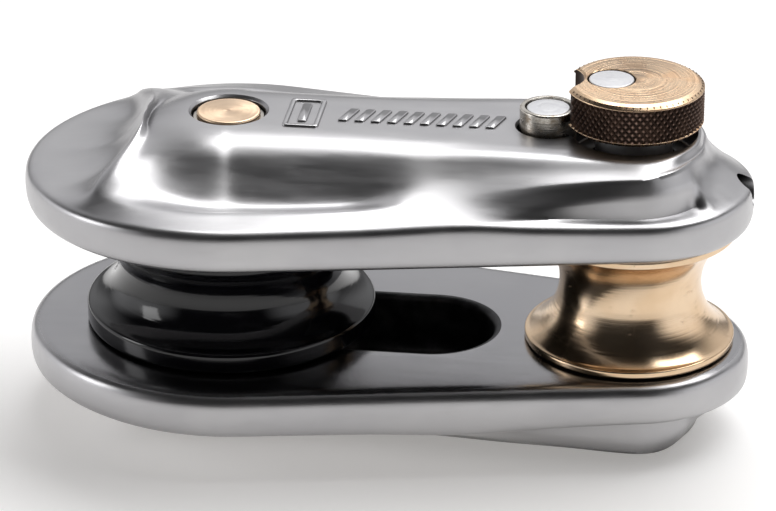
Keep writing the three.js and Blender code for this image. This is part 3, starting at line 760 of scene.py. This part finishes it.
def upper_cheek():
    recess_z = levels("pin_guide_bush")[1] + FIT - UP_Z
    shoulder = BUTTON_SHOULDER_Z - UP_Z
    recess = bore(SPOOL_X, (RECESS_R, recess_z, 0.6), (RECESS_R, CHEEK_H - 0.5, 0.3),
                  (RECESS_R + 0.4, CHEEK_H + 0.04, 0.2), (RECESS_R + 0.4, CHEEK_H + 1))
    button = bore(BUTTON_X, (BUTTON_CHAMBER_R, -1), (BUTTON_CHAMBER_R, shoulder),
                  (BUTTON_BORE_R, shoulder), (BUTTON_BORE_R, CHEEK_H - 0.6, 0.2),
                  (BUTTON_BORE_R + 0.5, CHEEK_H + 0.03), (BUTTON_BORE_R + 0.5, CHEEK_H + 1))
    plate = cut(cheek_skin("upper_cheek"), pocket_cutter(), pin_seat(SHEAVE_X, AXLE_R, 0.4),
                bore(SHEAVE_X, (SWING_BUSH_SEAT_R, -1), (SWING_BUSH_SEAT_R, CHEEK_H - 3.45)), recess,
                bore(SPOOL_X, (GUIDE_BUSH_SEAT_R, -1), (GUIDE_BUSH_SEAT_R, recess_z + 1)), button,
                end_groove())
    return ride(place_cheek(plate, False), "upper_cheek", "cheek_steel", "upper_cheek_plate")


# ---- rollers -------------------------------------------------
def groove_arc(waist, radius, half_width, middle, steps=48):
    """The round bottom of a groove, from its lower to its upper edge."""
    reach = math.asin(half_width / radius)
    turns = [-reach + 2 * reach * i / steps for i in range(steps + 1)]
    return [(waist + radius - radius * math.cos(a), middle + radius * math.sin(a)) for a in turns]


def rope_sheave():
    low, high = levels("rope_sheave")
    rim = radius_of("rope_sheave")
    bore_r = 10.7
    groove = groove_arc(rim - 6.2, 8.5, 7.65, (low + high) / 2)
    lower = eased([(bore_r, low), (rim, low, 0.9), (rim, low + 3.8, 0.7), groove[0]], 8)
    upper = [(r, low + high - z) for r, z in reversed(lower)]
    sheave = turned("black_sheave", [*lower[:-1], *groove, *upper[1:]], SHEAVE_X, BLACK, FINE, True)
    return ride(sheave, "rope_sheave", "black_anodised", "rope_sheave")


def sling_spool():
    low, high = levels("sling_spool")
    rim = radius_of("sling_spool")
    bore_r, seat_r, seat = 8.8, 11.8, 0.85
    groove = groove_arc(13.5, 12.4, 10.5, (low + high) / 2)
    lower = eased([(bore_r, low + seat), (seat_r, low + seat), (seat_r, low, 0.15), (rim, low, 0.35),
                   (rim, low + 1.35, 0.35), groove[0]], 6)
    upper = [(r, low + high - z) for r, z in reversed(lower)]
    spool = turned("bronze_spool", [*lower[:-1], *groove, *upper[1:]], SPOOL_X, SPOOL_BRONZE, FINE, True)
    return ride(spool, "sling_spool", "polished_bronze", "sling_spool")


# ---- axle and post -------------------------------------------
def ring_groove(end_r, low, high):
    """Section of the groove of a snap ring."""
    waist = end_r - 0.45
    return [(end_r, low), (waist, low), (waist, high), (end_r, high)]


def ended_pin(low, high, end_r, body_r, upper_groove, lower_groove):
    """Section of a pin with a thicker body and a snap ring groove near each end."""
    section = [(0, low), (end_r, low, 0.4), *ring_groove(end_r, *lower_groove)]
    section += [(end_r, LOW_Z + FIT), (body_r, LOW_Z + FIT, 0.3), (body_r, UP_Z - FIT, 0.3),
                (end_r, UP_Z - FIT)]
    return eased([*section, *ring_groove(end_r, *upper_groove), (end_r, high, 0.45), (0, high)])


def sheave_axle():
    low, high = levels("sheave_axle")
    section = ended_pin(low, high, AXLE_R, 8, (TOP_Z - 2.2, TOP_Z - 1.1), (1.1, 2.2))
    return ride(turned("axle", section, SHEAVE_X, BRONZE), "lower_cheek", "bronze", "sheave_axle")


def spool_post():
    low, high = levels("spool_post")
    section = eased([(0, low), (POST_END_R, low, 0.4), *ring_groove(POST_END_R, 1.1, 2.2),
                     (POST_END_R, LOW_Z + FIT), (8.5, LOW_Z + FIT, 0.3), (8.5, high, 0.5), (6.1, high, 0.2),
                     (5.3, high - 0.8, 0.2), (5.3, high - 14), (0, high - 16)])
    return ride(turned("post", section, SPOOL_X, POST_STEEL), "lower_cheek", "steel", "spool_post")


def snap_ring(name, node, pin_r, axis_x, finish):
    """An open ring of flat spring steel with softened edges."""
    low, high = levels(node)
    inner, outer = pin_r - 0.3, pin_r + RING_OVER
    gap, steps, ease = 0.35, 72, 0.12
    rim = [(inner, low + ease), (inner + ease, low), (outer - ease, low), (outer, low + ease),
           (outer, high - ease), (outer - ease, high), (inner + ease, high), (inner, high - ease)]
    turns = [-math.pi / 2 + gap + (2 * math.pi - 2 * gap) * k / steps for k in range(steps + 1)]
    points = [(axis_x + r * math.cos(a), r * math.sin(a), z) for a in turns for r, z in rim]
    size = len(rim)
    faces = [(i * size + k, i * size + (k + 1) % size, (i + 1) * size + (k + 1) % size, (i + 1) * size + k)
             for i in range(steps) for k in range(size)]
    faces += [list(range(size)), list(range(steps * size, (steps + 1) * size))]
    piece = tidy_faces(mesh_object(name, points, faces, finish=finish))
    return ride(piece, "lower_cheek", "steel", node)


# ---- locking pin, knob and button ----------------------------
KNOB_LOW, KNOB_HIGH = levels("thumb_knob")
KNOB_R = 13.0
KNOB_FACE_R = 11.7
BAND = (KNOB_LOW + 0.9, KNOB_HIGH - 1.15)


def thumb_knob():
    """The knob's turned body: plain chamfered rims with a sunk band that carries the knurl."""
    sunk = KNOB_R - 0.42
    section = eased([
        (0, KNOB_LOW), (KNOB_R - 0.85, KNOB_LOW, 0.3), (KNOB_R, KNOB_LOW + 0.8, 0.25),
        (KNOB_R, BAND[0], 0.1), (sunk, BAND[0] + 0.1), (sunk, BAND[1] - 0.1), (KNOB_R, BAND[1], 0.1),
        (KNOB_R, KNOB_HIGH - 0.9, 0.2), (KNOB_FACE_R, KNOB_HIGH, 0.3), (0, KNOB_HIGH)])
    knob = turned("knob", section, SPOOL_X, KNOB_FACE, FINE)
    notch = bore(BUTTON_X, (6.6, KNOB_LOW - 1), (6.6, KNOB_HIGH - 0.35, 0.1), (7.0, KNOB_HIGH + 0.05),
                 (7.0, KNOB_HIGH + 1))
    pin_hole = bore(SPOOL_X, (PIN_R + FIT, KNOB_LOW - 1), (PIN_R + FIT, KNOB_LOW + 4.9))
    seat = bore(DISC_X, (4.55, KNOB_HIGH - 2.5), (4.55, KNOB_HIGH - 0.15), (4.75, KNOB_HIGH + 0.05),
                (4.75, KNOB_HIGH + 1))
    cut(knob, notch, pin_hole, seat)
    knob.data.materials.append(KNURL)
    for face in knob.data.polygons:
        reach = math.hypot(face.center.x - SPOOL_X * MM, face.center.y) / MM
        inside = BAND[0] < face.center.z / MM < BAND[1] and reach < KNOB_R - 0.2
        face.material_index = 1 if inside and abs(face.normal.z) < 0.3 else 0
    return ride(tidy_faces(knob), "locking_pin", "aged_bronze", "thumb_knob")


def knurl():
    """Diamond studs round the knob."""
    columns, rows = 62, 9
    half_width = math.pi * KNOB_R / columns
    step = (BAND[1] - BAND[0]) / (rows - 1)
    sunk, tip = -0.5, 0.22
    corners = [(0, -1), (1, 0), (0, 1), (-1, 0)]
    points = [(sunk, half_width * y, step * z) for y, z in corners]
    points += [(0, half_width * y * tip, step * z * tip) for y, z in corners]
    faces = [(3, 2, 1, 0), (4, 5, 6, 7), *[(k, (k + 1) % 4, 4 + (k + 1) % 4, 4 + k) for k in range(4)]]
    studs = knurl_tree().make("knob_knurl", mesh_object("stud", points, faces), KNURL,
                              Columns=columns, Rows=rows, Row_Step=step * MM, Radius=KNOB_R * MM,
                              Low=BAND[0] * MM, Axis_X=SPOOL_X * MM, Notch_X=BUTTON_X * MM,
                              Notch_Radius=7.3 * MM)
    studs.data.shade_flat()
    return ride(studs, "locking_pin", "aged_bronze")


def small_turned_parts():
    """The small round parts whose chamfers and gaps catch the light."""
    low, high = levels("lock_button_sleeve")
    skirt = BUTTON_CHAMBER_R - FIT
    shoulder = BUTTON_SHOULDER_Z - FIT
    cavity = levels("lock_button_spring")[1] + FIT
    sleeve = eased([
        (4.3, low), (skirt, low, 0.3), (skirt, shoulder, 0.2), (5.37, shoulder), (5.37, high, 0.45),
        (4.4, high, 0.15), (4.4, high - 2.7), (0, high - 2.7), (0, cavity), (4.3, cavity), (4.3, low)])
    ride(turned("button_sleeve", sleeve, BUTTON_X, BUTTON_STEEL), "lock_button", "steel",
         "lock_button_sleeve")
    for name, node, axis_x, finish, body in (
            ("button_core", "lock_button_core", BUTTON_X, BUTTON_PALE, "lock_button"),
            ("knob_disc", "knob_dowel_disc", DISC_X, DISC_PALE, "locking_pin")):
        low, high = levels(node)
        r = radius_of(node)
        disc = eased([(0, low), (r, low, 0.1), (r, high, 0.3), (0, high)])
        ride(turned(name, disc, axis_x, finish), body, "satin_steel", node)
    low, high = levels("pin_collar")
    outer = radius_of("pin_collar")
    inner = PIN_R + FIT
    collar = eased([(inner, low), (outer, low, 0.3), (outer, high - 0.5, 0.3), (outer - 0.5, high, 0.3),
                    (inner, high), (inner, low)])
    ride(turned("collar", collar, SPOOL_X, COLLAR_PALE), "locking_pin", "satin_steel", "pin_collar")
    low, high = levels("locking_pin")
    waist = PIN_R - 0.55
    pin = eased([(0, low), (PIN_R, low, 0.5), (PIN_R, low + 0.7), (waist, low + 0.7), (waist, low + 1.8),
                 (PIN_R, low + 1.8), (PIN_R, high), (0, high)])
    ride(turned("pin_shank", pin, SPOOL_X, POST_STEEL), "locking_pin", "steel", "locking_pin")


def button_spring():
    low, high = levels("lock_button_spring")
    wire = 0.4
    seed = mesh_object("seed", [(0, 0, 0)], [])
    spring = spring_tree().make("button_spring", seed, BUTTON_STEEL, Turns=7.0, Radius=3.4 * MM,
                                Wire=wire * MM, Length=(high - low - 2 * wire) * MM, Axis_X=BUTTON_X * MM,
                                Low=(low + wire) * MM)
    ride(tidy_faces(spring), "upper_cheek", "steel", "lock_button_spring")
    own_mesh(spring)


# ---- raised marks --------------------------------------------
MARK_H = 0.34


def raised_plate(name, outline, hole=None):
    """A low raised shape with a softened top edge; hole is an inner outline with as many points."""
    ease = 0.16
    count = len(outline)
    points, faces = [], []

    def inset(line, amount):
        flat = [Vector(p) for p in line]
        moved = []
        for i, p in enumerate(flat):
            before, after = (p - flat[i - 1]).normalized(), (flat[(i + 1) % count] - p).normalized()
            normal = (before + after).orthogonal().normalized()
            moved.append(p + normal * amount)
        return moved

    area = sum(a[0] * b[1] - a[1] * b[0] for a, b in zip(outline, outline[1:] + outline[:1]))
    side = 1 if area > 0 else -1
    rings = [(outline, -0.4), (outline, MARK_H - ease), (inset(outline, side * ease), MARK_H)]
    if hole:
        rings += [(inset(hole, -side * ease), MARK_H), (hole, MARK_H - ease), (hole, -0.4)]
    for line, high in rings:
        points += [(p[0], p[1], high) for p in line]
    for k in range(len(rings) - 1):
        faces += [(k * count + i, k * count + (i + 1) % count, (k + 1) * count + (i + 1) % count,
                   (k + 1) * count + i) for i in range(count)]
    if hole:
        last = (len(rings) - 1) * count
        faces += [(i, last + i, last + (i + 1) % count, (i + 1) % count) for i in range(count)]
    else:
        faces += [list(range(count)), list(range((len(rings) - 1) * count, len(rings) * count))]
    return tidy_faces(mesh_object(name, points, faces, finish=STEEL), 50)


def rounded_box(half_x, half_y, corner, centre_x=0):
    """Outline of a rectangle with round corners."""
    out = []
    for sx, sy, start in ((1, 1, 0), (-1, 1, 90), (-1, -1, 180), (1, -1, 270)):
        for k in range(5):
            a = math.radians(start + 22.5 * k)
            out.append((centre_x + sx * (half_x - corner) + corner * math.cos(a),
                        sy * (half_y - corner) + corner * math.sin(a)))
    return out


def spine_marks():
    """Plain raised marks on the upper spine: a framed bar, then a row of slanted bars."""
    frame_mark = raised_plate("mark_frame", rounded_box(3.4, 6.6, 0.7), rounded_box(2.5, 5.7, 0.4))
    bar = raised_plate("mark_bar", rounded_box(0.9, 4.2, 0.4))
    slanted = raised_plate("mark_slanted", [(x + 0.3 * y, y) for x, y in rounded_box(0.95, 2.9, 0.35)])
    start = SHEAVE_X + 14.6
    row = row_tree()
    for name, mark, first, count, step in (
            ("spine_frame_mark", frame_mark, start, 1, 0.0), ("spine_bar_mark", bar, start, 1, 0.0),
            ("spine_slanted_marks", slanted, start + 8.4, 10, 3.1)):
        marks = row.make(name, mark, STEEL, Count=count, Step=step * MM, Start=first * MM,
                         Height=TOP_Z * MM)
        ride(tidy_faces(marks, 50), "upper_cheek", "cheek_steel")


# ---- CAD nodes that stay -------------------------------------
def finish_cad_nodes():
    finishes = {
        BRONZE: ("sheave_bush", "cheek_swing_bush", "sheave_thrust_washer_lower",
                 "sheave_thrust_washer_upper"),
        SPOOL_BRONZE: ("pin_guide_bush",),
        POST_STEEL: ("spool_thrust_washer_lower", "spool_thrust_washer_upper", "pin_retaining_ring"),
        BUTTON_STEEL: ("button_bore_plug",),
    }
    for finish, nodes in finishes.items():
        for node in nodes:
            slots = frame["nodes"][node].data.materials
            slots.clear()
            slots.append(finish)


# ---- studio --------------------------------------------------
BACK_LIGHT = 0.82
SIDE_LIGHT = 1.1
FRONT_LIGHT = 0.02


def camera():
    azimuth, elevation, distance = math.radians(7.487), math.radians(24.696), 0.82324
    back = Vector((math.sin(azimuth) * math.cos(elevation), -math.cos(azimuth) * math.cos(elevation),
                   math.sin(elevation)))
    data = bpy.data.cameras.new("camera")
    data.sensor_width = 36
    data.lens = 199.5
    data.clip_end = 20
    thing = bpy.data.objects.new("camera", data)
    bpy.context.scene.collection.objects.link(thing)
    thing.location = Vector((-0.00003, 0, 0.032)) + back * distance
    thing.rotation_euler = back.to_track_quat("Z", "Y").to_euler()
    bpy.context.scene.camera = thing


def softbox(name, place, aim, size, power, colour=(1, 1, 1)):
    """A rectangular area light at place, facing aim."""
    data = bpy.data.lights.new(name, "AREA")
    data.shape = "RECTANGLE"
    data.size, data.size_y = size
    data.energy = power
    data.color = colour
    thing = bpy.data.objects.new(name, data)
    bpy.context.scene.collection.objects.link(thing)
    thing.location = place
    thing.rotation_euler = (Vector(place) - Vector(aim)).to_track_quat("Z", "Y").to_euler()


def world_light():
    """White to the camera; to the object, pale behind and at both sides and dark in front."""
    world = bpy.data.worlds.new("studio")
    bpy.context.scene.world = world
    world.use_nodes = True
    tree = world.node_tree

    def node(kind, settings=None, inputs=None, output=0):
        made = tree.nodes.new(kind)
        for name, setting in (settings or {}).items():
            setattr(made, name, setting)
        for name, given in (inputs or {}).items():
            if isinstance(given, bpy.types.NodeSocket):
                tree.links.new(given, made.inputs[name])
            else:
                made.inputs[name].default_value = given
        return made.outputs[output]

    def ease(value, low, high, top):
        return node("ShaderNodeMapRange", {"interpolation_type": "SMOOTHSTEP"}, {
            "Value": value, "From Min": low, "From Max": high, "To Max": top})

    facing = node("ShaderNodeTexCoord", output="Generated")
    axes = node("ShaderNodeSeparateXYZ", None, {0: facing}).node.outputs
    sideways = node("ShaderNodeMath", {"operation": "ABSOLUTE"}, {0: axes["X"]})
    behind = ease(axes["Y"], 0.15, 0.8, BACK_LIGHT)
    over_horizon = ease(axes["Z"], 0.02, 0.36, 1.0)
    over_horizon.node.inputs["To Min"].default_value = 0.25
    behind = node("ShaderNodeMath", {"operation": "MULTIPLY"}, {0: behind, 1: over_horizon})
    low_down = ease(axes["Z"], 0.6, 0.25, 1.0)
    beside = ease(sideways, 0.6, 0.95, SIDE_LIGHT)
    beside = node("ShaderNodeMath", {"operation": "MULTIPLY"}, {0: beside, 1: low_down})
    pale = node("ShaderNodeMath", {"operation": "MAXIMUM"}, {0: behind, 1: beside})
    shade = node("ShaderNodeMath", {"operation": "ADD"}, {0: pale, 1: FRONT_LIGHT})
    tinted = node("ShaderNodeMix", {"data_type": "RGBA", "blend_type": "MULTIPLY"}, {
        "Factor": 1.0, 6: shade, 7: (0.98, 0.98, 1.0, 1.0)}, 2)
    seen = node("ShaderNodeLightPath", output="Is Camera Ray")
    colour = node("ShaderNodeMix", {"data_type": "RGBA"}, {"Factor": seen, 6: tinted, 7: (1, 1, 1, 1)}, 2)
    tree.links.new(colour, tree.nodes["Background"].inputs["Color"])


def studio():
    """The floor, a broad light overhead, a small one at the left, and the world."""
    reach = 3000
    corners = [(-reach, -reach, 0), (reach, -reach, 0), (reach, reach, 0), (-reach, reach, 0)]
    floor = mesh_object("floor", corners, [(0, 1, 2, 3)], finish=pale_floor())
    aim = (0, 0, 0.03)
    softbox("overhead_light", (0.22, 0.30, 0.86), aim, (0.9, 0.56), 7.2)
    softbox("left_light", (-0.9, -0.25, 0.35), aim, (0.3, 0.4), 1.2)
    world_light()
    bpy.context.scene.view_settings.view_transform = "Standard"


# ---- making --------------------------------------------------
camera()
studio()
lower_cheek()
upper_cheek()
rope_sheave()
sling_spool()
sheave_axle()
spool_post()
snap_ring("axle_ring_top", "axle_snap_ring_upper", AXLE_R, SHEAVE_X, AXLE_STEEL)
snap_ring("axle_ring_bottom", "axle_snap_ring_lower", AXLE_R, SHEAVE_X, AXLE_STEEL)
snap_ring("post_ring", "post_snap_ring", POST_END_R, SPOOL_X, POST_STEEL)
thumb_knob()
knurl()
small_turned_parts()
button_spring()
spine_marks()
finish_cad_nodes()
